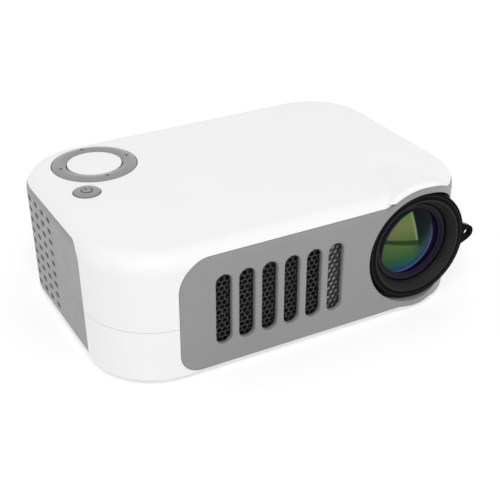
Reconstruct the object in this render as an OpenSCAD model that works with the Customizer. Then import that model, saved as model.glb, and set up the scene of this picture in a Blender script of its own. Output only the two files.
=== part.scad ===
// Palm-size LED video projector: two white shells, a grey slotted front,
// a grey perforated band round the sides and back, and a turning focus ring.
// +X is the lens side, the front faces -Y, and z = 0 is the table under the feet.

/* [Housing] */
// Width of the housing, side to side
body_w = 142; // [138:0.5:150]
// Depth of the housing, front to back
body_d = 99.3; // [97:0.1:106]
// Height of the housing above its base
body_h = 46.6; // [46:0.1:49]
// Radius of the upright corners
corner_r = 25; // [24:0.5:27]
// Rounding of the top edge
top_round = 6; // [5:0.25:7]
// Rounding of the bottom edge
base_round = 1; // [0.5:0.1:1.4]
// How far the walls lean out, per mm of height
wall_lean = 0.02; // [0.01:0.005:0.03]
// Thickness of the moulded walls
wall = 2; // [1.8:0.1:2.3]
// Gap left round each panel
seam = 0.15; // [0.1:0.05:0.25]
// Height of the joint between the two white shells
split_z = 19.5; // [15:0.5:26]
// How far the rubber feet stand below the base
foot_h = 1; // [0.5:0.1:2]

/* [Front panel] */
// From the left side of the housing to the panel's left end
panel_inset = 23.2; // [22:0.2:26]
// Height of the panel's lower edge
panel_z0 = 1.3; // [1:0.1:2]
// Height of the panel's upper edge
panel_z1 = 43.2; // [41.5:0.1:43.5]
// Radius of the panel's upper left corner
panel_r_top = 11; // [8:0.5:14]
// Radius of the panel's lower left corner
panel_r_low = 7.5; // [5:0.5:10]
// Radius of the panel's round bulge over the lens
bulge_r = 23.6; // [23:0.1:24.2]
// Radius that blends the bulge into the upper edge
bulge_blend = 9; // [6:0.5:12]
// Radius of the white brow over the bulge
brow_r = 25.3; // [24.8:0.1:26]

/* [Air slots] */
// Number of upright slots
slot_count = 6; // [4:1:6]
// Width of the bar between two slots
slot_bar = 2.72; // [2:0.02:3.4]
// From the panel's left end to the middle of the first slot
slot_start = 16; // [14:0.2:17]
// From the middle of the last slot to the lens axis
slot_end = 35.2; // [34:0.2:37]
// Height of a slot's lower end
slot_z0 = 8.6; // [7:0.1:12]
// Height of a slot's upper end
slot_z1 = 35.2; // [32:0.1:37]
// Rounding of the slot edges
slot_round = 0.8; // [0.4:0.1:1]
// Distance between mesh holes along a row
mesh_pitch = 2.06; // [1.9:0.02:2.4]
// Width of a mesh hole across its flats
mesh_hole = 1.65; // [1.2:0.05:1.75]
// Thickness of the mesh
mesh_t = 0.8; // [0.5:0.1:1]

/* [Side band] */
// Height of the band's lower edge
band_z0 = 2.4; // [2:0.1:3.5]
// Height of the band's upper edge
band_z1 = 43.2; // [41.5:0.1:43.5]
// From the front of the housing to the band's left end
band_inset = 27.3; // [26:0.1:30]
// Radius of the band's upper front corner
band_r = 6; // [4:0.25:8]
// Length of a side hole
vent_w = 3.6; // [2.4:0.1:4]
// Height of a side hole
vent_h = 1.9; // [1.2:0.1:2.2]
// Distance between columns of side holes
vent_pitch = 6.6; // [6:0.1:7]
// Distance between rows of side holes
vent_row = 4.28; // [4:0.05:4.4]
// Number of rows of side holes
vent_rows = 9; // [6:1:9]
// Height of the lowest row
vent_z0 = 5.4; // [5:0.1:6.5]

/* [Lens] */
// From the right side of the housing to the lens axis
lens_inset = 25; // [24.8:0.1:26]
// Height of the lens axis above the base
lens_z = 24; // [23.8:0.1:24.4]
// Outer radius of the focus ring
ring_r = 20.6; // [20.3:0.1:20.8]
// Gap between the ring and the hole in the panel
ring_gap = 0.8; // [0.6:0.1:0.9]
// How far the ring's rim lies behind the panel's face
ring_recess = 1.85; // [1.5:0.05:2.2]
// Inner radius of the ring's rim
rim_r = 17.5; // [17:0.1:18]
// Outer radius of the lens barrel
barrel_r = 14.8; // [14.6:0.1:15]
// Clear radius of the front lens
glass_r = 12.8; // [12.5:0.1:13]
// Full turn of the focus ring, in degrees
focus_turn = 80; // [60:2:80]
// Travel of the barrel over the full turn
focus_travel = 4; // [3:0.2:4]
// Radius of the cam pins
cam_pin_r = 1.2; // [1:0.1:1.3]
// Distance of the strap lug's hole from the lens axis
lug_reach = 22.1; // [22:0.1:22.4]
// Radius of the strap lug's hole
lug_hole_r = 1.3; // [1:0.1:1.5]

/* [Keys] */
// Middle of the key ring, from the left side
ring_key_x = 25.8; // [25:0.1:28]
// Middle of the key ring, from the back
ring_key_y = 22.3; // [22:0.1:26]
// Outer radius of the key ring
ring_key_r = 15.4; // [14:0.1:15.6]
// Radius of the centre key
ok_r = 9.9; // [9:0.1:10.4]
// Radius of the power key
power_r = 4.7; // [4:0.1:5.5]
// Middle of the power key, from the left side
power_x = 15; // [14:0.1:18]
// Middle of the power key, in front of the key ring's middle
power_gap = 20.8; // [20.8:0.1:23]
// How far the keys stand out of the top
key_rise = 0.8; // [0.5:0.1:1.2]
// Travel of the centre and power keys
key_travel = 0.5; // [0.3:0.1:0.5]
// Gap round the keys
key_gap = 0.35; // [0.3:0.05:0.5]

/* [Inside] */
// Side of the square fan
fan_size = 40; // [38:0.5:40]
// Thickness of the fan
fan_t = 10; // [8:0.5:12]
// Number of fan blades
fan_blades = 7; // [5:2:9]
// Outer width and height of the light box
box_w = 40; // [38:0.5:40]
// Length of the light box
box_l = 47; // [45:0.5:48]
// Wall of the light box
box_wall = 2; // [1.5:0.1:2.5]
// Number of heat sink fins
fin_count = 8; // [5:1:9]
// Thickness of a circuit board
board_t = 1.6; // [1.2:0.1:1.6]
// Radius of the tripod thread's bore
tripod_r = 3.175; // [3:0.025:3.5]

/* [Hidden] */
$fn = 48;

// Small amount by which a cut runs past a face
eps = 0.01;
// Play between fixed parts that fit in each other
fit = 0.1;
// Radial play of a part that turns or slides in another
run = 0.05;

// Housing faces and the place of the lens
front_y = -body_d / 2;
back_y = body_d / 2;
side_x = body_w / 2;
lens_x = side_x - lens_inset;
panel_x0 = -side_x + panel_inset;
turn_y = front_y + corner_r;
flat_x = side_x - corner_r;
flat_y = back_y - corner_r;
slot_x0 = panel_x0 + slot_start;
last_slot_x = lens_x - slot_end;
slot_pitch = (last_slot_x - slot_x0) / (slot_count - 1);
slot_w = slot_pitch - slot_bar;
far = body_w;
shoulder_z = body_h - top_round;

// Keys
key_cx = -side_x + ring_key_x;
key_cy = back_y - ring_key_y;
power_cx = -side_x + power_x;
power_cy = key_cy - power_gap;
key_mid_r = (ok_r + key_gap + ring_key_r) / 2;
key_top = body_h + key_rise;
ceiling = body_h - wall;
// Tilt that the key ring takes when one of its sides is pressed, in degrees
key_tilt = 1.2;
pad_t = 1;
pad_top = ceiling - 0.5;
key_board_z = 38;
key_room = 20;
switch_top = pad_top - pad_t - key_travel - fit;
switch_base = key_board_z + board_t;

// Focus ring, measured backwards from the face of its rim
ring_y = front_y + ring_recess;
skirt_t = 1.5;
skirt_end = 14.3;
bezel_t = 2.4;
sleeve_in = barrel_r + 1.6;
sleeve_out = sleeve_in + 1.6;
sleeve_start = 6.3;
sleeve_end = 20.5;
mount_out = sleeve_in - run;
mount_start = 4.8;
mount_end = 20.8;
flange_t = 2;
barrel_start = 3.6;
barrel_end = 23.5;
barrel_bore = barrel_r - 0.85;
cam_y = 13.8;
cam_rate = focus_travel / focus_turn;
cam_play = 0.15;
lens_play = 0.05;
lip_end = barrel_start + 1.6;
front_sag = 2.2;
front_edge = 3;
rear_lens_t = 3;
rear_lens_y = barrel_end - 6.5;
front_lens_y = lip_end + 0.25;
spacer_t = 1.2;
throat_end = 4.2;

// Light box, from the back of the lens mount's flange
box_y0 = ring_y + mount_end + flange_t;
box_y1 = box_y0 + box_l;
box_in = box_w - 2 * box_wall;
corner_hole = box_w / 2 - 3;
stack_y = box_y0 + 17;
plate_t = 1.5;
lcd_t = 2.2;
lcd_edge = 3;
lcd_y = stack_y + 5;
rear_plate_y = lcd_y + 5;
condenser_y = rear_plate_y + 7;
sink_t = 4;
fin_t = 1.2;
lamp_w = 20;
lamp_t = 1.6;

// Screw post beside the lens, the white wall that keeps the warm air away from it, and the fan
lens_post_x = lens_x - ring_r - 4.5;
baffle_x = lens_post_x - 7;
baffle_t = 1.4;
fan_x = baffle_x - 5 - fan_size / 2;
fan_y = front_y + wall + 3.7;
fan_z0 = wall + 2;
fan_cz = fan_z0 + fan_size / 2;
shaft_r = 1.5;

// Main board and its ports
board_z = 6;
board_x0 = -side_x + 14;
board_x1 = baffle_x + 4;
board_y0 = -4;
board_y1 = back_y - wall - 1;
port_z = board_z + board_t;
board_mid = (board_x0 + board_x1) / 2;
dc_w = 9;
dc_r = 2.75;
av_w = 6;
av_r = 1.75;
usb_w = 13.2;
usb_h = 5.8;
hdmi_w = 15;
hdmi_h = 5.6;
port_gap = (board_x1 - 1 + flat_x - dc_w - av_w - usb_w - hdmi_w) / 4;
dc_x = -flat_x + port_gap + dc_w / 2;
av_x = dc_x + port_gap + (dc_w + av_w) / 2;
usb_x = av_x + port_gap + (av_w + usb_w) / 2;
hdmi_x = usb_x + port_gap + (usb_w + hdmi_w) / 2;
ir_w = 10;
ir_h = 6;
ir_z = 28;
port_y = back_y - wall_lean * (shoulder_z - port_z) - 0.3;
dc_z = port_z + dc_w / 2;
av_z = port_z + av_w / 2;
vent_back_x = lens_x - 16;
speaker_r = 14;
speaker_y = key_cy - 13.75;
speaker_z = speaker_r + 6;
chip_w = 14;
memory_w = 12;
coil_w = 6;
coil_pitch = 8;
coil_y = board_y0 + 6;
cap_r = 2.4;
cap_h = 6;
cap_pitch = 6;
cap_y = board_y1 - 18.6;

// Screw posts, feet and the tripod socket
side_post = 26;
posts = [[-side_x + side_post, front_y + side_post], [lens_post_x, front_y + 10.6],
         [board_mid + 10.8, key_cy - 8.5], [board_x1 + 4, back_y - 7.6]];
post_r = 3;
post_z = 10;
key_posts = [[key_cx + ring_key_r + 3.8, key_cy + 4], [power_cx + 13, power_cy - 4],
             [power_cx - power_r - 2.6, power_cy - 2]];
key_post_r = 2.2;
board_posts = [[board_x0 + 5, board_y0 + 4], [board_x1 - 4, board_y0 + 4],
               [board_x0 + 8, board_y1 - 14]];
board_post_r = 2.5;
rim_t = 1.2;
rim_h = 3;
screw_r = 1.3;
screw_l = 13;
head_r = 2.4;
head_h = 1.6;
head_seat = 6;
small_r = 1;
small_head_r = 2;
small_head_h = 1.3;
foot_r = 5;
foot_x = side_x - 15;
foot_y = back_y - 15;
foot_sink = 0.8;
tripod_y = -16;
insert_r = 5;
insert_h = 8;

module raised() {
  translate([0, 0, foot_h]) children();
}

// Half section of the housing: leaning wall, rounded top and bottom edges
module edge_section(inset) {
  r = corner_r - inset;
  low = max(base_round - inset, 0.2);
  top = top_round - inset;
  z1 = body_h - inset;
  foot = r - wall_lean * (shoulder_z - inset - low);
  polygon([[0, inset], [foot - low, inset], [foot, inset + low],
           [r, shoulder_z], [r - top, z1], [0, z1]]);
  intersection() {
    translate([r - top, shoulder_z]) circle(top);
    translate([r - top, shoulder_z]) square(top);
  }
  intersection() {
    translate([foot - low, inset + low]) circle(low);
    translate([foot - low, inset]) square(low);
  }
}

// Half section of the same leaning wall carried straight up past the top
module tall_section(inset) {
  r = corner_r - inset;
  z1 = body_h + 10;
  polygon([[0, -1], [r - wall_lean * (shoulder_z + 1), -1],
           [r + wall_lean * (z1 - shoulder_z), z1], [0, z1]]);
}

// Sweeps a half section round the rounded rectangle of the plan
module round_plan(z0, z1) {
  for (x = [-1, 1], y = [-1, 1])
    translate([x * flat_x, y * flat_y, 0]) rotate_extrude() children();
  rotate([90, 0, 90]) translate([0, 0, -flat_x]) linear_extrude(2 * flat_x) {
    for (s = [0, 1]) mirror([s, 0]) translate([flat_y, 0]) children();
    translate([-flat_y, z0]) square([2 * flat_y, z1 - z0]);
  }
  rotate([90, 0, 0]) translate([0, 0, -flat_y]) linear_extrude(2 * flat_y) {
    for (s = [0, 1]) mirror([s, 0]) translate([flat_x, 0]) children();
    translate([-flat_x, z0]) square([2 * flat_x, z1 - z0]);
  }
}

module housing_form(inset = 0) {
  round_plan(inset, body_h - inset) edge_section(inset);
}

module tall_form(inset = 0) {
  round_plan(-1, body_h + 10) tall_section(inset);
}

module housing_wall() {
  difference() {
    housing_form();
    housing_form(wall);
  }
}

// Puts a part on the lens axis; z then runs backwards from the rim's face
module on_lens_axis(t = 0) {
  raised() translate([lens_x, ring_y + t, lens_z]) rotate([-90, 0, 0]) children();
}

// Outline of the front panel seen from the front, x and z
module panel_outline(grow = 0) {
  x0 = panel_x0 - grow;
  z0 = panel_z0 - grow;
  z1 = panel_z1 + grow;
  rt = panel_r_top + grow;
  rl = panel_r_low + grow;
  r = bulge_r + grow;
  blend = bulge_blend - grow;
  rise = z1 + blend - lens_z;
  dx = sqrt(pow(r + blend, 2) - pow(rise, 2));
  k = r / (r + blend);
  polygon([[x0, z0 + rl], [x0 + rl, z0], [far, z0], [far, z1], [x0 + rt, z1], [x0, z1 - rt]]);
  translate([x0 + rt, z1 - rt]) circle(rt);
  translate([x0 + rl, z0 + rl]) circle(rl);
  translate([lens_x, lens_z]) circle(r, $fn = 96);
  low = rise - blend;
  for (s = [0, 1])
    translate([lens_x, lens_z]) mirror([s, 0]) difference() {
      polygon([[dx, low - 1], [dx, low], [dx * k, rise * k], [dx * k - 2, low - 1]]);
      translate([dx, rise]) circle(blend);
    }
}

// Everything in front of the side seam that lies inside the panel's outline
module panel_zone(grow = 0) {
  rotate([90, 0, 0]) translate([0, 0, -turn_y - grow])
    linear_extrude(far) panel_outline(grow);
}

// Everything behind the band's ends that lies between its edges
module band_zone(grow = 0) {
  y0 = front_y + band_inset - grow;
  z0 = band_z0 - grow;
  z1 = band_z1 + grow;
  r = band_r + grow;
  translate([-far, 0, 0]) rotate([90, 0, 90]) linear_extrude(far) {
    polygon([[y0, z0], [far, z0], [far, z1], [y0 + r, z1], [y0, z1 - r]]);
    translate([y0 + r, z1 - r]) circle(r);
  }
  translate([-eps, turn_y + seam - grow, z0]) cube([far, far, z1 - z0]);
}

// The room that a panel needs in the shells: only the depth of the wall
module panel_cut() {
  difference() {
    union() {
      panel_zone(seam);
      band_zone(seam);
    }
    tall_form(wall);
  }
}

// White swelling of the top over the lens, turned about the lens axis
module brow() {
  lip = brow_r - bulge_r;
  back_t = wall + corner_r;
  intersection() {
    on_lens_axis(-ring_recess) rotate_extrude($fn = 96) {
      polygon([[bulge_r - 2, 0], [bulge_r, 0], [brow_r, lip],
               [ceiling + wall - lens_z, back_t], [bulge_r - 2, back_t]]);
      translate([bulge_r, lip]) circle(lip);
    }
    raised() tall_form();
    raised() translate([0, front_y - 1, ceiling]) cube([far, body_d, 20]);
  }
}

// White lip of the lower shell under the bulge
module chin() {
  in_r = bulge_r - 1.5;
  out_r = brow_r - 0.4;
  intersection() {
    on_lens_axis(-ring_recess) rotate_extrude($fn = 96)
      polygon([[in_r, 0], [bulge_r + 0.6, 0], [out_r, 1.2], [out_r, wall], [in_r, wall]]);
    raised() tall_form();
    raised() translate([0, front_y - 1, 0]) cube([far, body_d, panel_z0]);
  }
}

// Clear way for the focus ring through both shells
module ring_way() {
  on_lens_axis(-ring_recess - 1)
    cylinder(r = ring_r + ring_gap + 0.4, h = skirt_end + ring_recess + 3, $fn = 96);
}

module key_holes() {
  raised() translate([key_cx, key_cy, ceiling - 3])
    cylinder(r = ring_key_r + key_gap, h = key_room, $fn = 72);
  raised() translate([power_cx, power_cy, ceiling - 3])
    cylinder(r = power_r + key_gap, h = key_room);
}

module at_posts(z) {
  for (p = posts) raised() translate([p[0], p[1], z]) children();
}

module top_shell() {
  color("white") difference() {
    union() {
      difference() {
        union() {
          raised() housing_wall();
          brow();
        }
        raised() panel_cut();
        ring_way();
        key_holes();
        raised() translate([-far, -far, -far]) cube([2 * far, 2 * far, far + split_z + seam / 2]);
      }
      at_posts(post_z) cylinder(r = post_r, h = ceiling + eps - post_z);
      for (p = key_posts)
        raised() translate([p[0], p[1], switch_base])
          cylinder(r = key_post_r, h = ceiling + eps - switch_base);
    }
    at_posts(post_z - 1) cylinder(r = screw_r + run, h = 11);
    for (p = key_posts)
      raised() translate([p[0], p[1], key_board_z]) cylinder(r = small_r + run, h = board_t + 4);
  }
}

// Ribs on the floor that carry the fan, the boards and the light box
module floor_ribs() {
  low = wall - eps;
  for (s = [-1, 1])
    translate([fan_x + s * fan_size / 3 - 1, fan_y, low]) cube([2, fan_t, fan_z0 - low]);
  for (x = [lens_x - box_w / 3, lens_x + box_w / 3], y = [box_y0 + 4, box_y1 - 6])
    translate([x - 2, y - 2, low]) cube([4, 4, lens_z - box_w / 2 - low]);
}

module bottom_shell() {
  color("white") difference() {
    union() {
      difference() {
        union() {
          raised() housing_wall();
          chin();
        }
        raised() panel_cut();
        raised() translate([-far, -far, split_z - seam / 2]) cube([2 * far, 2 * far, far]);
      }
      // Rim behind the lower edges of the panel and the band
      intersection() {
        difference() {
          raised() tall_form(wall + seam);
          raised() tall_form(wall + seam + rim_t);
          ring_way();
        }
        raised() translate([-far, -far, wall - eps]) cube([2 * far, 2 * far, rim_h]);
      }
      raised() floor_ribs();
      at_posts(wall - eps) cylinder(r = post_r + 0.6, h = post_z - fit - wall);
      for (p = board_posts)
        raised() translate([p[0], p[1], wall - eps])
          cylinder(r = board_post_r, h = board_z - wall + eps);
      raised() translate([0, tripod_y, wall - eps])
        cylinder(r = insert_r + 2.2, h = insert_h - wall);
    }
    at_posts(-1) cylinder(r = screw_r + 0.2, h = post_z + 2);
    at_posts(-1) cylinder(r = head_r + 0.3, h = head_seat + 1);
    for (p = board_posts)
      raised() translate([p[0], p[1], 1]) cylinder(r = small_r + run, h = board_z);
    raised() translate([0, tripod_y, -1]) cylinder(r = insert_r, h = insert_h + 2);
    for (x = [-1, 1], y = [-1, 1])
      translate([x * foot_x, y * foot_y, foot_h - 1])
        cylinder(r = foot_r + fit, h = foot_sink + 1);
  }
}

// Places a part on the leaning front face, with y up the face and z out of it
module on_front(x, z, depth = 0) {
  raised() translate([x, front_y + wall_lean * (shoulder_z - z), z])
    rotate([90 + atan(wall_lean), 0, 0]) translate([0, 0, -depth]) children();
}

// Upright slot with round ends, cut along z
module slot_hole(w, h, depth) {
  linear_extrude(depth) {
    translate([-w / 2, w / 2]) square([w, h - w]);
    for (y = [w / 2, h - w / 2]) translate([0, y]) circle(w / 2);
  }
}

// Ring of the round edge that the slot's mouth has
module slot_mouth(w, h, r) {
  module edge() {
    difference() {
      translate([w / 2 - eps, -eps]) square(r + eps);
      translate([w / 2 + r, r]) circle(r);
    }
  }
  for (y = [w / 2, h - w / 2]) translate([0, y, 0]) rotate_extrude() edge();
  for (s = [0, 1])
    mirror([s, 0, 0]) translate([0, h - w / 2, 0]) rotate([90, 0, 0]) linear_extrude(h - w) edge();
}

module front_panel() {
  color("gray") difference() {
    intersection() {
      raised() union() {
        difference() {
          housing_form();
          tall_form(wall - seam);
        }
        intersection() {
          difference() {
            tall_form();
            tall_form(wall - seam);
          }
          translate([lens_x, 0, lens_z]) rotate([90, 0, 0]) cylinder(r = bulge_r, h = far, $fn = 96);
        }
      }
      raised() panel_zone();
    }
    on_lens_axis(-10) cylinder(r = ring_r + ring_gap, h = 10 + skirt_end + wall, $fn = 96);
    for (i = [0:slot_count - 1])
      on_front(slot_x0 + i * slot_pitch, slot_z0) {
        translate([0, 0, -wall - 1]) slot_hole(slot_w, slot_z1 - slot_z0, wall + 2);
        mirror([0, 0, 1]) slot_mouth(slot_w, slot_z1 - slot_z0, slot_round);
      }
  }
}

// Hexagonal holes of the mesh behind one slot, every other row shifted by half a hole
module mesh_holes() {
  row = mesh_pitch * sqrt(3) / 2;
  rows = floor((slot_z1 - slot_z0 + 3) / row / 2);
  reach = slot_w / 2 + 0.3;
  for (r = [-rows:rows]) {
    shift = r % 2 == 0 ? 0 : 0.5;
    cols = floor(reach / mesh_pitch - shift);
    for (c = [-cols - 2 * shift:cols])
      translate([(c + shift) * mesh_pitch, r * row]) rotate(30) circle(mesh_hole / sqrt(3), $fn = 6);
  }
}

// Thin plate behind the slots, held at the panel's back
module front_mesh() {
  slots_w = (slot_count - 1) * slot_pitch;
  w = slots_w + slot_w + 6;
  h = slot_z1 - slot_z0 + 6;
  color("dimgray")
    on_front(slot_x0 + slots_w / 2, (slot_z0 + slot_z1) / 2, wall + seam + mesh_t)
      linear_extrude(mesh_t) difference() {
        translate([-w / 2, -h / 2]) square([w, h]);
        for (i = [0:slot_count - 1]) translate([i * slot_pitch - slots_w / 2, 0]) mesh_holes();
      }
}

module vent_hole() {
  rotate([90, 0, 0]) translate([0, 0, -4]) linear_extrude(8) {
    translate([-(vent_w - vent_h) / 2, -vent_h / 2]) square([vent_w - vent_h, vent_h]);
    for (s = [-1, 1]) translate([s * (vent_w - vent_h) / 2, 0]) circle(vent_h / 2, $fn = 24);
  }
}

// One upright row of side holes, pointing along -Y
module vent_column() {
  for (i = [0:vent_rows - 1]) translate([0, 0, vent_z0 + i * vent_row]) vent_hole();
}

module side_band() {
  color("gray") difference() {
    intersection() {
      raised() difference() {
        housing_form();
        tall_form(wall - seam);
      }
      raised() band_zone();
    }
    raised() for (s = [-1, 1]) {
      for (i = [0:2])
        translate([s * side_x, flat_y - 5.25 - i * vent_pitch, 0]) rotate(90) vent_column();
      for (i = [0:2])
        translate([s * flat_x, flat_y, 0])
          rotate(-s * (90 - (1.35 + i * vent_pitch) * 180 / PI / corner_r))
            translate([0, corner_r, 0]) vent_column();
    }
    // Air grid and ports in the back
    raised() for (x = [vent_back_x:vent_pitch:flat_x])
      translate([x, back_y, 0]) vent_column();
    port_hole(dc_x, dc_z) circle(3.6);
    port_hole(av_x, av_z) circle(3.2);
    port_hole(usb_x - usb_w / 2 - 0.3, port_z - 0.3) square([usb_w + 0.6, usb_h + 0.6]);
    port_hole(hdmi_x - hdmi_w / 2 - 0.3, port_z - 0.3) square([hdmi_w + 0.6, hdmi_h + 0.6]);
    port_hole(usb_x - ir_w / 2 - fit, ir_z - fit) square([ir_w + 2 * fit, ir_h + 2 * fit]);
  }
}

// Cuts a flat shape through the back at x, z
module port_hole(x, z) {
  raised() translate([x, back_y + 5, z]) rotate([90, 0, 0]) linear_extrude(10) children();
}

// ---- Keys ----

module key_ring() {
  z0 = pad_top + 0.4;
  crown = 0.9;
  half = ring_key_r - key_mid_r;
  dome = (half * half + crown * crown) / (2 * crown);
  color("gray") raised() translate([key_cx, key_cy, 0]) difference() {
    rotate_extrude($fn = 72) intersection() {
      translate([key_mid_r - half, z0]) square([2 * half, key_top - z0]);
      translate([key_mid_r, key_top - dome]) circle(dome, $fn = 96);
    }
    for (a = [0:90:270]) rotate(a) translate([key_mid_r, 0, key_top - 0.25])
      linear_extrude(1) polygon([[0.9, 0], [-0.6, 1], [-0.6, -1]]);
  }
}

// Pad under the key ring that presses the four outer switches
module key_pad() {
  color("darkgray") raised() translate([key_cx, key_cy, pad_top - pad_t]) difference() {
    cylinder(r = ring_key_r + 1, h = pad_t);
    translate([0, 0, -1]) cylinder(r = ok_r + key_gap, h = pad_t + 2);
  }
}

module key_cap(r, low) {
  crown = 0.5;
  dome = (r * r + crown * crown) / (2 * crown);
  rotate_extrude($fn = 72) intersection() {
    translate([0, low]) square([r, key_top - low]);
    translate([0, key_top - dome]) circle(dome, $fn = 180);
  }
}

module ok_button() {
  color("white") raised() translate([key_cx, key_cy, 0]) key_cap(ok_r, pad_top - pad_t);
}

module power_button() {
  color("gray") raised() translate([power_cx, power_cy, 0]) key_cap(power_r, pad_top - pad_t);
}

module key_board() {
  color("darkgreen") raised() difference() {
    union() {
      translate([key_cx, key_cy, key_board_z]) cylinder(r = ring_key_r + 2.6, h = board_t);
      translate([power_cx - 10.5, power_cy - 8, key_board_z])
        cube([key_cx - power_cx + 18, key_cy - power_cy + 6, board_t]);
      translate([key_cx, key_cy - 6, key_board_z]) cube([ring_key_r + 6.5, 14, board_t]);
    }
    for (p = key_posts)
      translate([p[0], p[1], key_board_z - 1]) cylinder(r = small_r + run, h = board_t + 2);
  }
}

// Push switches under the four sides of the ring, the centre key and the power key
module key_switches() {
  h = switch_top - switch_base;
  outer = [for (a = [0:90:270]) [key_cx + key_mid_r * cos(a), key_cy + key_mid_r * sin(a)]];
  at = concat(outer, [[key_cx, key_cy], [power_cx, power_cy]]);
  color("black") for (p = at) raised() translate([p[0], p[1], switch_base]) {
    translate([-3, -3, 0]) cube([6, 6, h - 0.8]);
    cylinder(r = 1.7, h = h);
  }
}

// ---- Focusing lens ----

module focus_ring() {
  ring_in = ring_r - skirt_t;
  color("black") on_lens_axis() difference() {
    rotate_extrude($fn = 96) polygon([
      [ring_in, bezel_t], [ring_r, bezel_t], [ring_r, skirt_end], [ring_in, skirt_end],
      [ring_in, sleeve_start + 2], [sleeve_out, sleeve_start + 2], [sleeve_out, sleeve_end],
      [sleeve_in, sleeve_end], [sleeve_in, sleeve_start], [ring_in, sleeve_start]]);
    for (a = [90:120:330]) cam_slot(a);
  }
}

// Slanted slot through the sleeve that drives one cam pin
module cam_slot(angle) {
  steps = 16;
  half = focus_turn / 2 + 8;
  high = cam_pin_r + cam_play;
  r0 = sleeve_in - 1;
  r1 = sleeve_out + 0.6;
  corners = [[r0, -high], [r1, -high], [r1, high], [r0, high]];
  points = [for (i = [0:steps]) let (a = half * (2 * i / steps - 1)) for (c = corners)
    [c[0] * cos(angle - a), c[0] * sin(angle - a), cam_y + cam_rate * a + c[1]]];
  walls = [for (i = [0:steps - 1], j = [0:3]) let (k = 4 * i + j, n = 4 * i + (j + 1) % 4)
    [k, k + 4, n + 4, n]];
  last = [for (j = [3:-1:0]) 4 * steps + j];
  polyhedron(points, concat([[0, 1, 2, 3], last], walls));
}

module ring_bezel() {
  spigot = ring_r - skirt_t - run;
  spigot_in = spigot - 1.3;
  spigot_end = sleeve_start - 2;
  eye_r = lug_hole_r + 1.5;
  lug_t = 1.8;
  edge = 0.6;
  throat = barrel_r + 0.5;
  color("black") on_lens_axis() difference() {
    union() {
      rotate_extrude($fn = 96) {
        polygon([[rim_r, 0], [ring_r - edge, 0], [ring_r, edge], [ring_r, bezel_t],
                 [spigot, bezel_t], [spigot, spigot_end], [spigot_in, spigot_end],
                 [spigot_in, throat_end - 0.4], [spigot_in - 0.4, throat_end],
                 [throat, throat_end], [throat, throat_end - 0.6]]);
        translate([ring_r - edge, edge]) circle(edge);
      }
      // Lug for a strap, on the side away from the slots
      linear_extrude(lug_t) {
        polygon([[ring_r - 1, -4.2], [lug_reach + 0.8, -eye_r],
                 [lug_reach + 0.8, eye_r], [ring_r - 1, 4.2]]);
        translate([lug_reach, 0]) circle(eye_r);
      }
    }
    translate([lug_reach, 0, -1]) cylinder(r = lug_hole_r, h = lug_t + 2);
  }
}

// Open spring ring that keeps the focus ring on the fixed tube
module snap_ring() {
  color("silver") on_lens_axis(sleeve_start - 1.1) difference() {
    cylinder(r = sleeve_in + 0.9, h = 0.8);
    translate([0, 0, -1]) cylinder(r = mount_out - 0.7, h = 3);
    translate([-1.5, 0, -1]) cube([3, 30, 3]);
  }
}

module lens_mount() {
  way_w = 2 * (cam_pin_r + run);
  way_l = focus_travel + 2 * (cam_pin_r + cam_play);
  color("white") on_lens_axis() difference() {
    union() {
      translate([0, 0, mount_start]) cylinder(r = mount_out, h = mount_end - mount_start + 1);
      translate([-box_w / 2, -box_w / 2, mount_end]) cube([box_w, box_w, flange_t]);
    }
    translate([0, 0, -1]) cylinder(r = barrel_r + run, h = barrel_end + 10);
    difference() {
      translate([0, 0, sleeve_start - 1.2]) cylinder(r = 30, h = 1);
      cylinder(r = mount_out - 0.75, h = 30);
    }
    for (a = [90:120:330]) rotate(a)
      translate([barrel_r - 1, -way_w / 2, cam_y - way_l / 2]) cube([5, way_w, way_l]);
    for (x = [-1, 1], y = [-1, 1])
      translate([x * corner_hole, y * corner_hole, 0]) cylinder(r = small_r + run, h = 60);
  }
}

module lens_barrel() {
  color("dimgray") on_lens_axis() {
    rotate_extrude($fn = 96) polygon([
      [glass_r, lip_end], [glass_r, lip_end - 0.5], [glass_r + 0.7, lip_end - 0.9],
      [glass_r + 0.7, barrel_start + 0.4], [glass_r + 1.2, barrel_start], [barrel_r, barrel_start],
      [barrel_r, barrel_end], [barrel_bore, barrel_end], [barrel_bore, lip_end]]);
    for (a = [90:120:330]) rotate(a) translate([barrel_r - 0.3, 0, cam_y]) rotate([0, 90, 0])
      cylinder(r = cam_pin_r, h = sleeve_out - barrel_r + 0.1, $fn = 32);
  }
}

// Lens with a plain edge and two spherical faces, front vertex towards -z
module lens_blank(r, edge, sag_front, sag_back) {
  r1 = (r * r + sag_front * sag_front) / (2 * sag_front);
  r2 = (r * r + sag_back * sag_back) / (2 * sag_back);
  rotate_extrude($fn = 96) intersection() {
    translate([0, r1 - sag_front]) circle(r1, $fn = 360);
    translate([0, edge + sag_back - r2]) circle(r2, $fn = 360);
    translate([0, -sag_front]) square([r, edge + sag_front + sag_back]);
  }
}

module front_lens() {
  color("lightgreen", 0.5) on_lens_axis(front_lens_y)
    lens_blank(barrel_bore - lens_play, front_edge, front_sag, 0.8);
}

module lens_spacer() {
  t0 = front_lens_y + front_edge + 0.15;
  color("black") on_lens_axis(t0) difference() {
    cylinder(r = barrel_bore - lens_play, h = rear_lens_y - t0 - 0.2);
    translate([0, 0, -1]) cylinder(r = barrel_bore - spacer_t, h = 30);
  }
}

module rear_lens() {
  color("lightblue", 0.5) on_lens_axis(rear_lens_y)
    lens_blank(barrel_bore - lens_play, rear_lens_t, 1.2, 1.6);
}

module lens_retainer() {
  color("black") on_lens_axis(rear_lens_y + rear_lens_t + 0.3) difference() {
    cylinder(r = barrel_bore - lens_play, h = 2);
    translate([0, 0, -1]) cylinder(r = barrel_bore - spacer_t, h = 4);
  }
}

// ---- Light box ----

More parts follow.
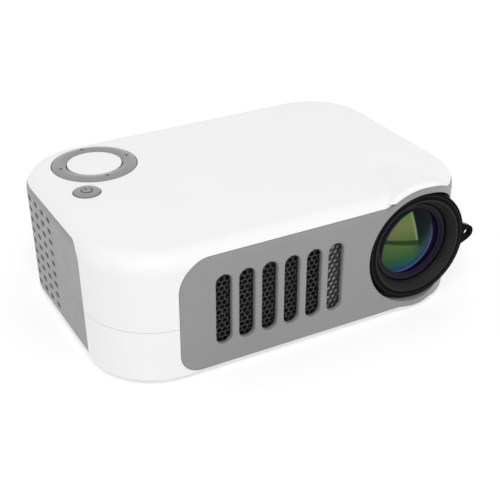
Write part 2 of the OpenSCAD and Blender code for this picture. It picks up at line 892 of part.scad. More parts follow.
module in_box(y) {
  raised() translate([lens_x, y, lens_z]) children();
}

module light_box() {
  color("whitesmoke") difference() {
    in_box(box_y0) translate([-box_w / 2, 0, -box_w / 2]) cube([box_w, box_l, box_w]);
    in_box(box_y0 + box_wall) translate([-box_in / 2, 0, -box_in / 2])
      cube([box_in, box_l, box_in]);
    in_box(box_y0 - 1) rotate([-90, 0, 0]) cylinder(r = barrel_r + 0.8, h = box_wall + 2);
    for (x = [-1, 1], z = [-1, 1])
      in_box(box_y0 - 1) translate([x * corner_hole, 0, z * corner_hole])
        rotate([-90, 0, 0]) cylinder(r = small_r + run, h = box_wall + 2);
  }
}

// Square plate that fills the light box across the light's path
module box_plate(y, t) {
  in_box(y) translate([-box_in / 2 + fit, 0, -box_in / 2 + fit])
    cube([box_in - 2 * fit, t, box_in - 2 * fit]);
}

module front_fresnel() { color("lightcyan", 0.5) box_plate(stack_y, plate_t); }

module lcd_panel() {
  color("black", 0.8) difference() {
    box_plate(lcd_y, lcd_t);
    in_box(lcd_y - 1) translate([-box_in / 2 + lcd_edge, 0, -box_in / 2 + 2 * lcd_edge])
      cube([box_in - 2 * lcd_edge, 1.4, box_in - 4 * lcd_edge]);
  }
}

module rear_fresnel() { color("lightcyan", 0.5) box_plate(rear_plate_y, plate_t); }

module condenser() {
  color("lightcyan", 0.5) in_box(condenser_y) rotate([-90, 0, 0])
    lens_blank(box_in / 2 - fit, plate_t, 4, 0.5);
}

module led_module() {
  color("gold") in_box(box_y1 - lamp_t) {
    translate([-lamp_w / 2, 0, -lamp_w / 2]) cube([lamp_w, lamp_t, lamp_w]);
    rotate([90, 0, 0]) cylinder(r = 4.5, h = 1.2);
  }
}

module heat_sink() {
  fin_l = back_y - wall - 8 - box_y1 - sink_t;
  fin_w = box_w * 0.75;
  color("silver") in_box(box_y1) {
    translate([-box_w / 2 + 1, 0, -box_w / 2 + 1]) cube([box_w - 2, sink_t, box_w - 2]);
    for (i = [0:fin_count - 1])
      translate([-fin_w / 2 + i * (fin_w - fin_t) / (fin_count - 1), sink_t - eps, -fin_w / 2])
        cube([fin_t, fin_l, fin_w]);
  }
}

// ---- Air ----

module fan_frame() {
  inner = fan_size / 2 - 1;
  color("black") raised() translate([fan_x, fan_y, fan_cz]) rotate([-90, 0, 0]) difference() {
    union() {
      difference() {
        translate([-fan_size / 2, -fan_size / 2, 0]) cube([fan_size, fan_size, fan_t]);
        translate([0, 0, -1]) cylinder(r = inner, h = fan_t + 2, $fn = 72);
      }
      for (a = [45:90:315]) rotate(a) translate([0, -1, fan_t - 1.2]) cube([inner + 1, 2, 1.2]);
      translate([0, 0, fan_t - 1.5]) cylinder(r = inner / 2, h = 1.5);
      translate([0, 0, 1.5]) cylinder(r = shaft_r, h = fan_t - 2);
    }
    for (x = [-1, 1], y = [-1, 1])
      translate([x * (fan_size / 2 - 4), y * (fan_size / 2 - 4), -1]) cylinder(r = 1.6, h = fan_t + 2);
  }
}

module fan_rotor() {
  hub_r = fan_size * 0.28;
  tip_r = fan_size / 2 - 1.6;
  hub_h = fan_t - 2.2;
  color("black") raised() translate([fan_x, fan_y + 0.4, fan_cz]) rotate([-90, 0, 0]) difference() {
    union() {
      cylinder(r = hub_r, h = hub_h);
      intersection() {
        translate([0, 0, 0.3]) cylinder(r = tip_r, h = hub_h - 0.6);
        for (i = [0:fan_blades - 1]) rotate(i * 360 / fan_blades)
          translate([0, 0, hub_h / 2]) rotate([38, 0, 0]) translate([0, -10, -0.6])
            cube([30, 20, 1.2]);
      }
    }
    translate([0, 0, 0.8]) cylinder(r = shaft_r + run, h = fan_t);
    translate([0, 0, hub_h - 3]) difference() {
      cylinder(r = hub_r - 1, h = 5);
      cylinder(r = shaft_r + 2, h = 5);
    }
  }
}

// White wall that keeps the warm air away from the lens, with a flange behind the last slot
module air_baffle() {
  front = fan_y - 1.3;
  flange_x = last_slot_x - slot_w / 2 - 1;
  color("white") raised() {
    translate([baffle_x, front, wall]) cube([baffle_t, fan_t + 13, ceiling - wall - 1]);
    translate([flange_x, front, slot_z0 - 2])
      cube([baffle_x - flange_x + eps, 1, slot_z1 - slot_z0 + 4]);
  }
}

// ---- Electronics ----

module main_board() {
  color("darkgreen") raised() difference() {
    intersection() {
      translate([board_x0, board_y0, board_z])
        cube([board_x1 - board_x0, board_y1 - board_y0, board_t]);
      tall_form(wall + 2);
    }
    for (p = posts)
      translate([p[0], p[1], 0]) cylinder(r = post_r + 1.2, h = 20);
    for (p = board_posts)
      translate([p[0], p[1], 0]) cylinder(r = small_r + run, h = 20);
  }
}

// Processor with its cooling plate, memory, power coils and capacitors
module board_chips() {
  color("black") raised() translate([0, 0, port_z]) {
    translate([board_mid - 8, coil_y + 8, 0]) cube([chip_w, chip_w, 1.4]);
    translate([board_mid + 15.6, coil_y + 10, 0]) cube([memory_w, memory_w * 2 / 3, 1]);
    for (i = [0:2])
      translate([board_x0 + 7 + i * coil_pitch, coil_y, 0]) cube([coil_w, coil_w, coil_w / 2]);
    for (i = [0:3])
      translate([board_x0 + 9 + i * cap_pitch, cap_y, 0]) cylinder(r = cap_r, h = cap_h);
  }
}

module port_shell(w, h, l, shell) {
  difference() {
    translate([-w / 2, 0, 0]) cube([w, l, h]);
    translate([-w / 2 + shell, 2, shell]) cube([w - 2 * shell, l, h - 2 * shell]);
  }
}

module hdmi_port() {
  l = 11;
  color("silver") raised() translate([hdmi_x, port_y - l, port_z]) {
    port_shell(hdmi_w, hdmi_h, l, 0.5);
    translate([-5.5, 2 - eps, hdmi_h / 2 - 0.6]) cube([11, l - 4, 1.2]);
  }
}

module usb_port() {
  l = 14;
  color("silver") raised() translate([usb_x, port_y - l, port_z]) {
    port_shell(usb_w, usb_h, l, 0.5);
    translate([-5.6, 2 - eps, usb_h - 2.9]) cube([11.2, l - 4, 1.6]);
  }
}

module av_jack() {
  l = 14;
  color("black") raised() translate([av_x, port_y, port_z]) difference() {
    union() {
      translate([-av_w / 2, -l, 0]) cube([av_w, l - wall - 0.5, 5.6]);
      translate([0, -l, av_w / 2]) rotate([-90, 0, 0]) cylinder(r = av_w / 2, h = l);
    }
    translate([0, -l + 1, av_w / 2]) rotate([-90, 0, 0]) cylinder(r = av_r, h = l);
  }
}

module dc_jack() {
  l = 13;
  color("black") raised() translate([dc_x, port_y, port_z]) {
    difference() {
      union() {
        translate([-dc_w / 2, -l, 0]) cube([dc_w, l - wall - 0.5, dc_w]);
        translate([0, -l, dc_w / 2]) rotate([-90, 0, 0]) cylinder(r = 3.4, h = l);
      }
      translate([0, -l + 2, dc_w / 2]) rotate([-90, 0, 0]) cylinder(r = dc_r, h = l);
    }
    translate([0, -l + 1, dc_w / 2]) rotate([-90, 0, 0]) cylinder(r = 1, h = l - 2);
  }
}

// Dark window over the remote control's receiver
module ir_window() {
  flange = 1.5;
  color("black") raised() translate([usb_x - ir_w / 2, back_y - wall - 0.5, ir_z]) {
    cube([ir_w, wall + 0.1, ir_h]);
    translate([-flange, -1, -flange]) cube([ir_w + 2 * flange, 1 + eps, ir_h + 2 * flange]);
  }
}

module speaker() {
  rim = 2.4;
  cone = 4;
  magnet_r = 7.5;
  color("black") raised() translate([-side_x + wall + 0.9, speaker_y, speaker_z]) rotate([0, 90, 0]) {
    cylinder(r = speaker_r, h = rim);
    translate([0, 0, rim - eps]) cylinder(r1 = speaker_r - 1, r2 = magnet_r, h = cone);
    translate([0, 0, rim + cone - 2 * eps]) cylinder(r = magnet_r, h = 3.6);
  }
}

// ---- Fasteners, feet ----

module screw(head, head_t, shank, l) {
  difference() {
    union() {
      cylinder(r = head, h = head_t);
      cylinder(r = shank, h = l);
    }
    translate([0, 0, -eps]) cylinder(r = head * 0.45, h = head_t * 0.6, $fn = 6);
  }
}

module small_screw(l) {
  screw(small_head_r, small_head_h, small_r, small_head_h + l);
}

module case_screws() {
  color("silver") at_posts(head_seat - head_h) screw(head_r, head_h, screw_r, screw_l);
}

module board_screws() {
  color("silver") {
    for (p = board_posts)
      raised() translate([p[0], p[1], port_z + small_head_h]) rotate([180, 0, 0]) small_screw(5);
    for (p = key_posts)
      raised() translate([p[0], p[1], key_board_z - small_head_h]) small_screw(5);
  }
}

module mount_screws() {
  color("silver") for (x = [-1, 1], z = [-1, 1])
    on_lens_axis(mount_end - small_head_h)
      translate([x * corner_hole, z * corner_hole, 0]) small_screw(3.9);
}

module rubber_feet() {
  color("dimgray") for (x = [-1, 1], y = [-1, 1])
    translate([x * foot_x, y * foot_y, 0]) cylinder(r = foot_r, h = foot_h + foot_sink);
}

module tripod_insert() {
  color("gold") raised() translate([0, tripod_y, 0]) difference() {
    cylinder(r = insert_r, h = insert_h);
    translate([0, 0, -1]) cylinder(r = tripod_r, h = insert_h);
  }
}

top_shell();
bottom_shell();
front_panel();
side_band();
front_mesh();
key_ring();
key_pad();
ok_button();
power_button();
key_board();
key_switches();
focus_ring();
ring_bezel();
snap_ring();
lens_mount();
lens_barrel();
front_lens();
lens_spacer();
rear_lens();
lens_retainer();
light_box();
front_fresnel();
lcd_panel();
rear_fresnel();
condenser();
led_module();
heat_sink();
fan_frame();
fan_rotor();
air_baffle();
main_board();
board_chips();
hdmi_port();
usb_port();
av_jack();
dc_jack();
ir_window();
speaker();
case_screws();
board_screws();
mount_screws();
rubber_feet();
tripod_insert();
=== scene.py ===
import math
import bmesh
import bpy
from mathutils import Matrix, Vector


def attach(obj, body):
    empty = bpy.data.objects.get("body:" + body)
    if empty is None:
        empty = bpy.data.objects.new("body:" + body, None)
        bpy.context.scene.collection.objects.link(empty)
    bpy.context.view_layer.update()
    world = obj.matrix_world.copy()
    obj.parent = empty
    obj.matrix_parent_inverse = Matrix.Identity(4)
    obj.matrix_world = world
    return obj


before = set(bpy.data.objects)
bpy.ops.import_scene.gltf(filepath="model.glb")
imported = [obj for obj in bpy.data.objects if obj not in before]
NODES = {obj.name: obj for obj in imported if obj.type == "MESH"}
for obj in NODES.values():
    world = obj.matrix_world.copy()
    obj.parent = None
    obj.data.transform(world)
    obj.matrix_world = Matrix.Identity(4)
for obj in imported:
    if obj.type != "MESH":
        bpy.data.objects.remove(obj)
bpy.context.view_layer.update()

MM = 0.001

# Places and sizes that part.scad gives, in millimetres: the height of the feet, the front of the
# focus ring on the lens axis, and the middles, radii, gap and dome of the keys
FOOT = 1.0
LENS = Vector((46.0, -47.8, 25.0))
KEYS = Vector((-45.2, 27.35, 48.4))
KEYS_R = 15.4
OK_R = 9.9
KEY_GAP = 0.35
POWER = Vector((-56.0, 6.55, 48.4))
POWER_R = 4.7
POWER_CROWN = 0.5

# Height of a printed mark over the face it is on, and how far it reaches below it
MARK_HIGH = 0.05
MARK_DEEP = 0.12

# Steps in which a turned piece goes round
ROUND = 128

# Light on the object from all sides, glow of the floor where it is seen, and lamps: place and size
# in metres, power in watts
AMBIENT = 0.71
FLOOR_GLOW = 0.5
FLOOR_REACH = 6.0
LAMP_AIM = Vector((0, 0, 0.02))
LAMPS = [("key_light", (-0.44, -0.80, 1.1), (0.9, 0.7), 6.0),
         ("fill_light", (0.9, -0.6, 0.6), (0.7, 0.7), 1.0)]


# ---- Materials ----

def rgba(colour, gain=1.0):
    return (*[min(1.0, c * gain) for c in colour], 1.0)


class Graph:
    """Short names for making nodes in one node tree."""

    def __init__(self, tree):
        self.tree = tree

    def add(self, kind, inputs=None, **settings):
        node = self.tree.nodes.new(kind)
        for key, value in settings.items():
            setattr(node, key, value)
        for key, value in (inputs or {}).items():
            self.put(value, node.inputs[key])
        return node

    def put(self, value, socket):
        if isinstance(value, bpy.types.NodeSocket):
            self.tree.links.new(value, socket)
        else:
            socket.default_value = value

    def math(self, kind, a, b=0.0):
        return self.add("ShaderNodeMath", {0: a, 1: b}, operation=kind).outputs[0]

    def plus(self, a, b):
        return self.math("ADD", a, b)

    def minus(self, a, b):
        return self.math("SUBTRACT", a, b)

    def times(self, a, b):
        return self.math("MULTIPLY", a, b)

    def reach(self, a, b):
        """Distance that two offsets at right angles make."""
        return self.math("SQRT", self.plus(self.times(a, a), self.times(b, b)))

    def spread(self, value, low, high, start=0.3, end=0.7, kind="LINEAR"):
        """Value from start to end, mapped to low and high. Noise lies mostly within 0.3 and 0.7."""
        return self.add("ShaderNodeMapRange", {"Value": value, "From Min": start, "From Max": end,
                                               "To Min": low, "To Max": high},
                        interpolation_type=kind).outputs["Result"]

    def rise(self, value, start, end):
        """Smooth step from nought to one."""
        return self.spread(value, 0.0, 1.0, start, end, "SMOOTHSTEP")

    def fall(self, value, start, end):
        """Smooth step from one to nought."""
        return self.spread(value, 1.0, 0.0, start, end, "SMOOTHSTEP")

    def seen(self):
        """One for rays from the camera, from gloss or through glass, nought for light on the object."""
        ray = self.add("ShaderNodeLightPath").outputs
        bent = self.math("MAXIMUM", ray["Is Glossy Ray"], ray["Is Transmission Ray"])
        return self.math("MAXIMUM", ray["Is Camera Ray"], bent)


class Finish(Graph):
    """Nodes of one new material."""

    def __init__(self, name):
        self.mat = bpy.data.materials.new(name)
        self.mat.use_nodes = True
        super().__init__(self.mat.node_tree)
        self.shader = self.tree.nodes["Principled BSDF"]
        self.place = self.add("ShaderNodeTexCoord").outputs["Object"]

    def along(self, axis, centre):
        """Place along one axis, in millimetres from a centre."""
        part = self.add("ShaderNodeSeparateXYZ", {"Vector": self.place}).outputs[axis]
        return self.minus(self.times(part, 1000.0), centre[axis])

    def noise(self, scale, detail=2.0, place=None, rough=0.5):
        return self.add("ShaderNodeTexNoise", {"Vector": place or self.place, "Scale": scale,
                                               "Detail": detail, "Roughness": rough}).outputs["Fac"]

    def mix(self, factor, a, b):
        node = self.add("ShaderNodeMix", data_type="RGBA")
        self.put(factor, node.inputs[0])
        self.put(a, node.inputs[6])
        self.put(b, node.inputs[7])
        return node.outputs[2]

    def ramp(self, value, stops):
        """Colours at places between nought and one."""
        node = self.add("ShaderNodeValToRGB", {"Fac": value})
        marks = node.color_ramp.elements
        while len(marks) < len(stops):
            marks.new(0.5)
        for mark, (at, colour) in zip(marks, stops):
            mark.position = at
            mark.color = rgba(colour)
        return node.outputs["Color"]

    def bump(self, height, distance, strength):
        return self.add("ShaderNodeBump", {"Height": height, "Distance": distance,
                                           "Strength": strength}).outputs["Normal"]

    def set(self, **sockets):
        for key, value in sockets.items():
            self.put(value, self.shader.inputs[key.replace("_", " ")])


def moulded(name, colour, rough, grain=2600.0, grain_depth=0.000012, vary=0.02, spec=0.5, coat=0.0):
    """Moulded or painted surface: fine grain, slow colour drift and rubbed, smoother patches."""
    patch = 35.0
    n = Finish(name)
    tone = n.mix(n.spread(n.noise(patch, 3.0), 0.0, 1.0), rgba(colour, 1 - vary), rgba(colour, 1 + vary))
    rub = n.noise(patch * 4, 4.0, rough=0.6)
    n.set(Base_Color=tone, Roughness=n.spread(rub, rough * 0.85, rough * 1.15),
          Normal=n.bump(n.noise(grain), grain_depth, 0.6),
          Specular_IOR_Level=spec, Coat_Weight=coat, Coat_Roughness=0.08)
    return n.mat


def metal(name, colour, rough, stretch=(1.0, 1.0, 30.0)):
    """Machined metal with fine lines."""
    n = Finish(name)
    lines = n.add("ShaderNodeMapping", {"Vector": n.place, "Scale": stretch}).outputs["Vector"]
    streak = n.noise(900.0, 3.0, lines)
    n.set(Base_Color=n.mix(n.spread(streak, 0.0, 1.0), rgba(colour, 0.9), rgba(colour, 1.08)),
          Roughness=n.spread(streak, rough * 0.8, rough * 1.25),
          Normal=n.bump(streak, 0.000004, 0.4), Metallic=1.0)
    return n.mat


def clear_plate(name, colour):
    """Clear glass or sheet, a little uneven."""
    n = Finish(name)
    rib = n.noise(600.0)
    n.set(Base_Color=n.mix(n.spread(rib, 0.0, 1.0), rgba(colour, 0.95), rgba(colour)),
          Roughness=n.spread(rib, 0.05, 0.15), Normal=n.bump(rib, 0.000004, 0.3),
          Transmission_Weight=0.8, IOR=1.5)
    return n.mat


def barrel_material():
    """Dark satin barrel with fine grooves round the axis and painted violet light cast by the glass next
    to it.
    """
    n = Finish("barrel_satin")
    far = n.reach(n.along(0, LENS), n.along(2, LENS))
    grooves = n.math("SINE", n.times(far, 16.0))
    slow = n.noise(60.0, 3.0)
    plain = n.mix(n.spread(slow, 0.0, 1.0), rgba((0.010, 0.010, 0.012)), rgba((0.018, 0.017, 0.020)))
    # Painted violet light cast by the glass on the barrel next to it
    painted_violet_light = n.fall(far, 12.9, 14.4)
    n.set(Base_Color=n.mix(painted_violet_light, plain, rgba((0.014, 0.008, 0.028))),
          Roughness=n.spread(slow, 0.36, 0.46), Normal=n.bump(grooves, 0.00002, 0.35),
          Specular_IOR_Level=0.08)
    return n.mat


def funnel_material():
    """Satin funnel of the focus ring: dark grey near the rim, with painted shade darker towards the
    barrel, deep in the funnel.
    """
    n = Finish("funnel_satin")
    far = n.reach(n.along(0, LENS), n.along(2, LENS))
    slow = n.noise(50.0, 3.0)
    # Painted shade: darker deep in the funnel, towards the barrel
    painted_light = n.mix(n.rise(far, 15.4, 17.2), rgba((0.007, 0.006, 0.009)), rgba((0.027, 0.025, 0.026)))
    n.set(Base_Color=n.mix(n.spread(slow, 0.0, 0.3), painted_light, rgba((0.016, 0.015, 0.016))),
          Roughness=n.spread(slow, 0.44, 0.54), Normal=n.bump(n.noise(2600.0), 0.000008, 0.5),
          Specular_IOR_Level=0.1)
    return n.mat


def mount_material():
    """White lens mount whose tube, in front of the flange, is coloured black."""
    n = Finish("mount_white")
    tube = n.spread(n.along(1, LENS), 1.0, 0.0, 20.2, 20.7)
    slow = n.noise(35.0, 3.0)
    plain = n.mix(n.spread(slow, 0.0, 1.0), rgba((0.70, 0.70, 0.68)), rgba((0.74, 0.74, 0.72)))
    n.set(Base_Color=n.mix(tube, plain, rgba((0.008, 0.008, 0.009))),
          Roughness=n.spread(slow, 0.45, 0.55), Specular_IOR_Level=0.15)
    return n.mat


def mesh_material():
    """Black painted mesh, worn a little paler in places."""
    n = Finish("mesh_paint")
    wear = n.spread(n.noise(900.0, 3.0), 0.0, 1.0, 0.35, 0.65)
    n.set(Base_Color=n.mix(wear, rgba((0.012, 0.012, 0.013)), rgba((0.058, 0.058, 0.060))),
          Roughness=n.spread(wear, 0.28, 0.42), Normal=n.bump(wear, 0.00001, 0.4),
          Specular_IOR_Level=0.2)
    return n.mat


def lens_painted_reflection():
    """Front lens whose colour is a painted reflection: a coating from olive through green and teal to
    violet that mirrors a window.
    """
    n = Finish("lens_painted_reflection")
    x, z = n.along(0, LENS), n.along(2, LENS)
    far = n.reach(x, z)

    def below(slope, level, soft):
        """One below the line z = level + slope * x, nought above it."""
        return n.fall(n.minus(n.minus(z, level), n.times(x, slope)), -soft, soft)

    def disc(cx, cz, radius, soft):
        """One inside a circle on the glass, nought outside it."""
        return n.fall(n.reach(n.minus(x, cx), n.minus(z, cz)), radius - soft, radius + soft)

    # Painted reflection colour of the coating, from nought at the upper edge to one at the lower
    ripple = n.times(n.minus(n.noise(60.0), 0.5), 0.8)
    height = n.plus(n.minus(z, n.times(x, 0.12)), ripple)
    coating_reflection = n.ramp(n.spread(height, 1.0, 0.0, -12.5, 11.5), [
        (0.0, (0.12, 0.28, 0.045)), (0.18, (0.165, 0.185, 0.065)), (0.42, (0.085, 0.145, 0.04)),
        (0.58, (0.060, 0.125, 0.036)), (0.72, (0.022, 0.10, 0.042)), (0.84, (0.008, 0.085, 0.08)),
        (0.93, (0.02, 0.06, 0.19)), (1.0, (0.12, 0.08, 0.33))])

    # Painted reflection of a window on the left: a bar crosses it, its right edge is hard above the bar
    # and soft below
    across = n.plus(x, n.times(z, 0.21))
    under_bar = below(-0.25, -1.2, 0.35)
    under_top = below(-0.2, 0.9, 0.25)
    over_bar = n.minus(1.0, under_bar)
    window_reflection = n.plus(n.times(n.fall(across, 2.4, 3.3), over_bar),
                    n.times(n.fall(across, -0.5, 6.0), under_bar))
    bar = n.times(under_top, over_bar)
    painted_light = n.mix(n.times(bar, 0.85), coating_reflection, rgba((0.012, 0.028, 0.008)))
    # Painted glint along the right edge of the reflected window, above the bar
    glint = n.times(n.rise(across, 1.5, 2.3), n.minus(1.0, under_top))
    painted_light = n.mix(n.times(glint, 0.4), painted_light, rgba((0.30, 0.42, 0.24)))

    # Painted reflection of a dark room beside it, teal towards the lower right, with a painted lilac
    # sickle along that edge
    low_right = n.rise(n.plus(n.times(x, 0.7), n.times(z, -0.7)), 1.5, 8.0)
    room_reflection = n.mix(low_right, rgba((0.001, 0.006, 0.008)), rgba((0.012, 0.060, 0.062)))
    sickle_reflection = n.times(n.minus(1.0, disc(-3.6, 1.5, 12.6, 0.6)), low_right)
    face = n.mix(n.times(sickle_reflection, 0.65), n.mix(window_reflection, room_reflection, painted_light), rgba((0.13, 0.10, 0.36)))

    # Dark edge of the glass outside the painted reflection
    inside = n.times(disc(3.4, -3.0, 15.0, 0.35), disc(-3.3, 1.2, 13.3, 0.3))
    edge = n.mix(n.spread(far, 0.0, 1.0, 11.0, 12.8), rgba((0.010, 0.005, 0.022)),
                 rgba((0.002, 0.003, 0.006)))
    n.set(Base_Color=n.mix(inside, edge, face), Roughness=n.spread(n.noise(200.0), 0.02, 0.06),
          IOR=1.5, Specular_IOR_Level=0.05)
    return n.mat


white = moulded("white_case", (0.92, 0.92, 0.917), 0.38, grain=2200.0, grain_depth=0.000006,
                vary=0.008, spec=0.3)
grey = moulded("grey_case", (0.275, 0.275, 0.277), 0.46, grain=3400.0, grain_depth=0.00002)
key_grey = moulded("grey_key", (0.27, 0.27, 0.272), 0.24, grain=3000.0, grain_depth=0.000006, vary=0.03)
ring_black = moulded("ring_black", (0.003, 0.003, 0.0033), 0.2, grain=1800.0, grain_depth=0.000003,
                     vary=0.2, spec=0.03)
inner_white = moulded("inner_white", (0.72, 0.72, 0.70), 0.5, vary=0.03)
duct_white = moulded("duct_white", (0.95, 0.95, 0.94), 0.6)
inner_black = moulded("inner_black", (0.012, 0.012, 0.0135), 0.45, vary=0.15, spec=0.25)
soft_black = moulded("soft_black", (0.03, 0.03, 0.03), 0.7, grain=1600.0, grain_depth=0.00003, vary=0.15)
board_green = moulded("board_green", (0.012, 0.09, 0.035), 0.3, grain=900.0, grain_depth=0.00001,
                      vary=0.2, coat=0.4)
dark_window = moulded("dark_window", (0.012, 0.01, 0.014), 0.08, grain=1500.0, grain_depth=0.000002,
                      vary=0.2)
mark_dark = moulded("mark_dark", (0.035, 0.035, 0.037), 0.45, grain=3000.0, grain_depth=0.000006,
                    vary=0.1)
steel = metal("steel", (0.62, 0.62, 0.63), 0.3)
aluminium = metal("aluminium", (0.78, 0.79, 0.8), 0.35, (1.0, 20.0, 1.0))
brass = metal("brass", (0.8, 0.6, 0.28), 0.3)
barrel_satin = barrel_material()
funnel_satin = funnel_material()
mesh_paint = mesh_material()
mount_white = mount_material()
front_glass = lens_painted_reflection()
inner_glass = clear_plate("inner_glass", (0.75, 0.88, 0.85))

FINISHES = [
    (white, ["top_shell", "bottom_shell", "ok_button"]),
    (grey, ["front_panel", "side_band"]),
    (key_grey, ["key_ring", "power_button"]),
    (mesh_paint, ["front_mesh"]),
    (ring_black, ["focus_ring", "ring_bezel"]),
    (barrel_satin, ["lens_barrel", "lens_spacer", "lens_retainer"]),
    (front_glass, ["front_lens"]),
    (inner_glass, ["rear_lens", "condenser", "front_fresnel", "rear_fresnel"]),
    (inner_white, ["light_box"]),
    (mount_white, ["lens_mount"]),
    (duct_white, ["air_baffle"]),
    (inner_black, ["fan_frame", "fan_rotor", "speaker", "dc_jack", "av_jack", "key_switches",
                   "board_chips"]),
    (soft_black, ["key_pad", "rubber_feet"]),
    (board_green, ["main_board", "key_board"]),
    (dark_window, ["ir_window", "lcd_panel"]),
    (steel, ["snap_ring", "case_screws", "board_screws", "mount_screws", "hdmi_port", "usb_port"]),
    (aluminium, ["heat_sink", "led_module"]),
    (brass, ["tripod_insert"]),
]


def dress(obj, material):
    for slot in obj.material_slots:
        slot.material = material
    if not obj.material_slots:
        obj.data.materials.append(material)


for material, names in FINISHES:
    for name in names:
        dress(NODES[name], material)


# ---- Pieces that CAD leaves to the scene ----

def make_piece(name, verts, faces, material, body):
    """Mesh from points in millimetres, riding on a body."""
    mesh = bpy.data.meshes.new(name)
    mesh.from_pydata([tuple(Vector(v) * MM) for v in verts], [], faces)
    mesh.validate()
    bm = bmesh.new()
    bm.from_mesh(mesh)
    bmesh.ops.recalc_face_normals(bm, faces=bm.faces)
    bm.to_mesh(mesh)
    bm.free()
    obj = bpy.data.objects.new(name, mesh)
    bpy.context.collection.objects.link(obj)
    dress(obj, material)
    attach(obj, body)
    return obj


def dome_z(reach, radius, crown):
    """Drop of a spherical cap of this radius and crown, at a distance from its middle."""
    ball = (radius * radius + crown * crown) / (2 * crown)
    return math.sqrt(ball * ball - reach * reach) - ball


def printed_stroke(path, width, centre, radius, crown):
    """Closed solid that runs along a path on a domed key and stands a little proud of it."""
    section = [(-1, -MARK_DEEP), (-1, MARK_HIGH * 0.4), (-0.7, MARK_HIGH),
               (0.7, MARK_HIGH), (1, MARK_HIGH * 0.4), (1, -MARK_DEEP)]
    rows = len(section)
    verts, faces = [], []
    for i, point in enumerate(path):
        ahead = path[min(i + 1, len(path) - 1)] - path[max(i - 1, 0)]
        side = Vector((-ahead.y, ahead.x)).normalized() * width / 2
        for share, lift in section:
            p = point + side * share
            top = centre.z + dome_z(p.length, radius, crown)
            verts.append((centre.x + p.x, centre.y + p.y, top + lift))
    for i in range(len(path) - 1):
        for j in range(rows):
            a, b = rows * i + j, rows * i + (j + 1) % rows
            faces.append((a, b, b + rows, a + rows))
    faces.append(tuple(range(rows)))
    faces.append(tuple(range(len(verts) - 1, len(verts) - rows - 1, -1)))
    return verts, faces


def arc(radius, start, end, count):
    """Points on a circle between two angles in degrees."""
    turn = [math.radians(start + (end - start) * i / (count - 1)) for i in range(count)]
    return [Vector((radius * math.cos(t), radius * math.sin(t))) for t in turn]


def power_mark():
    """Open ring and upright bar on the power key."""
    half_open = 38
    sign = {"power_mark_arc": arc(1.9, 90 - half_open, half_open - 270, 40),
            "power_mark_bar": [Vector((0, 0.3 + 0.25 * i)) for i in range(10)]}
    for name, path in sign.items():
        verts, faces = printed_stroke(path, 0.5, POWER, POWER_R, POWER_CROWN)
        make_piece(name, verts, faces, mark_dark, "power_button")


def ring_marks():
    """Small arrow heads in the four recesses of the key ring."""
    mid = (OK_R + KEY_GAP + KEYS_R) / 2
    head = [Vector((0.75, 0.0)), Vector((-0.5, 0.8)), Vector((-0.5, -0.8))]
    sides = len(head)
    layers = [(-0.6, 1.0), (-0.12, 1.0), (-0.06, 0.85)]
    for i in range(4):
        turn = Matrix.Rotation(math.radians(90 * i), 2)
        verts = []
        for lift, shrink in layers:
            for p in head:
                q = turn @ (Vector((mid, 0.0)) + p * shrink)
                verts.append((KEYS.x + q.x, KEYS.y + q.y, KEYS.z + lift))
        faces = [tuple(range(sides)), tuple(range(2 * sides, 3 * sides))]
        for low in (0, sides):
            for j in range(sides):
                k = (j + 1) % sides
                faces.append((low + j, low + k, low + sides + k, low + sides + j))
        make_piece(f"ring_mark_{i + 1}", verts, faces, mark_dark, "key_ring")


def turned(name, profile, material, body):
    """Closed profile of depths and radii turned about the lens axis."""
    rows = len(profile)
    verts, faces = [], []
    for i in range(ROUND):
        turn = 2 * math.pi * i / ROUND
        for depth, reach in profile:
            verts.append((LENS.x + reach * math.cos(turn), LENS.y + depth,
                          LENS.z + reach * math.sin(turn)))
    for i in range(ROUND):
        ahead = (i + 1) % ROUND
        for j in range(rows):
            k = (j + 1) % rows
            faces.append((i * rows + j, i * rows + k, ahead * rows + k, ahead * rows + j))
    piece = make_piece(name, verts, faces, material, body)
    for face in piece.data.polygons:
        face.use_smooth = True


def ring_trim():
    """Stepped satin funnel inside the focus ring and a bead on its rim, as depths and radii."""
    funnel = [(0.02, 17.95), (-0.12, 17.8), (-0.18, 17.6), (-0.12, 17.38), (0.12, 17.28), (0.3, 17.22),
              (2.1, 16.08), (2.2, 15.98), (2.28, 15.76), (2.95, 15.58), (3.05, 15.48), (3.12, 15.34),
              (3.6, 15.2), (3.68, 15.4), (0.3, 17.45)]
    bead = [(0.05, 19.5), (-0.06, 19.46), (-0.1, 19.35), (-0.06, 19.24), (0.05, 19.2)]
    turned("ring_funnel", funnel, funnel_satin, "focus_ring")
    turned("ring_bead", bead, funnel_satin, "focus_ring")


power_mark()
ring_marks()
ring_trim()


# ---- Floor, light and camera ----

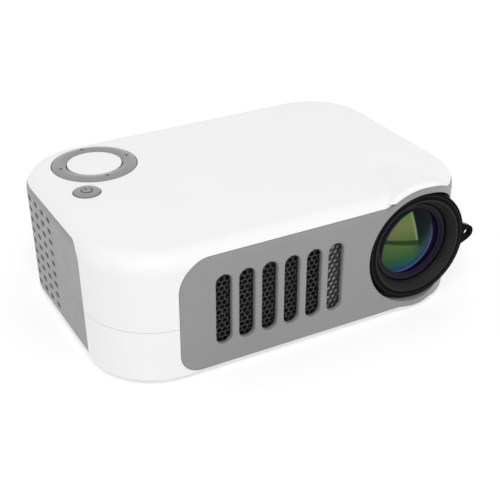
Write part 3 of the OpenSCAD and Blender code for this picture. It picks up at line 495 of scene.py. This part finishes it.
def white_floor():
    """Pale floor that keeps the object's shadow and looks white."""
    mesh = bpy.data.meshes.new("floor")
    far = FLOOR_REACH
    mesh.from_pydata([(-far, -far, 0), (far, -far, 0), (far, far, 0), (-far, far, 0)], [], [(0, 1, 2, 3)])
    floor = bpy.data.objects.new("floor", mesh)
    bpy.context.collection.objects.link(floor)
    n = Finish("floor_white")
    pale = n.mix(n.spread(n.noise(3.0), 0.0, 1.0), rgba((0.86, 0.86, 0.86)), rgba((0.88, 0.88, 0.88)))
    camera_ray = n.add("ShaderNodeLightPath").outputs["Is Camera Ray"]
    n.set(Base_Color=n.mix(camera_ray, pale, rgba((0.6, 0.6, 0.6))), Roughness=0.9,
          Specular_IOR_Level=0.1, Emission_Color=rgba((1.0, 1.0, 1.0)),
          Emission_Strength=n.times(n.seen(), FLOOR_GLOW))
    dress(floor, n.mat)


def pale_world():
    """Backdrop that is seen as white and lights the object a little less."""
    world = bpy.data.worlds.new("studio")
    world.use_nodes = True
    bpy.context.scene.world = world
    n = Graph(world.node_tree)
    backdrop = n.tree.nodes["Background"].inputs
    n.put(rgba((1.0, 1.0, 1.0)), backdrop["Color"])
    n.put(n.spread(n.seen(), AMBIENT, 1.0, 0.0, 1.0), backdrop["Strength"])


def add_lamp(name, place, size, power):
    data = bpy.data.lights.new(name, "AREA")
    data.shape = "RECTANGLE"
    data.size, data.size_y = size
    data.energy = power
    lamp = bpy.data.objects.new(name, data)
    lamp.location = place
    lamp.rotation_euler = (LAMP_AIM - Vector(place)).to_track_quat("-Z", "Y").to_euler()
    bpy.context.collection.objects.link(lamp)


def place_camera():
    """Camera solved from the outline in the photograph, in degrees, millimetres and its pixels."""
    turn, lift, roll = math.radians(-28.35), math.radians(29.19), math.radians(-0.37)
    distance, aside, above = 406.31, 3.63, 10.23
    focal_pixels, photo_pixels = 1059.95, 500
    sensor = 36.0
    back = Vector((math.sin(turn) * math.cos(lift), -math.cos(turn) * math.cos(lift), math.sin(lift)))
    flat = Vector((math.cos(turn), math.sin(turn), 0.0))
    rise = back.cross(flat)
    right = flat * math.cos(roll) + rise * math.sin(roll)
    up = rise * math.cos(roll) - flat * math.sin(roll)
    spot = (back * distance + right * aside + up * above + Vector((0, 0, FOOT))) * MM
    data = bpy.data.cameras.new("camera")
    data.sensor_width = sensor
    data.sensor_fit = "HORIZONTAL"
    data.lens = sensor * focal_pixels / photo_pixels
    data.clip_start = 0.01
    camera = bpy.data.objects.new("camera", data)
    camera.matrix_world = Matrix.Translation(spot) @ Matrix((right, up, back)).transposed().to_4x4()
    bpy.context.collection.objects.link(camera)
    bpy.context.scene.camera = camera


white_floor()
pale_world()
for lamp in LAMPS:
    add_lamp(*lamp)
place_camera()
bpy.context.scene.view_settings.view_transform = "Standard"
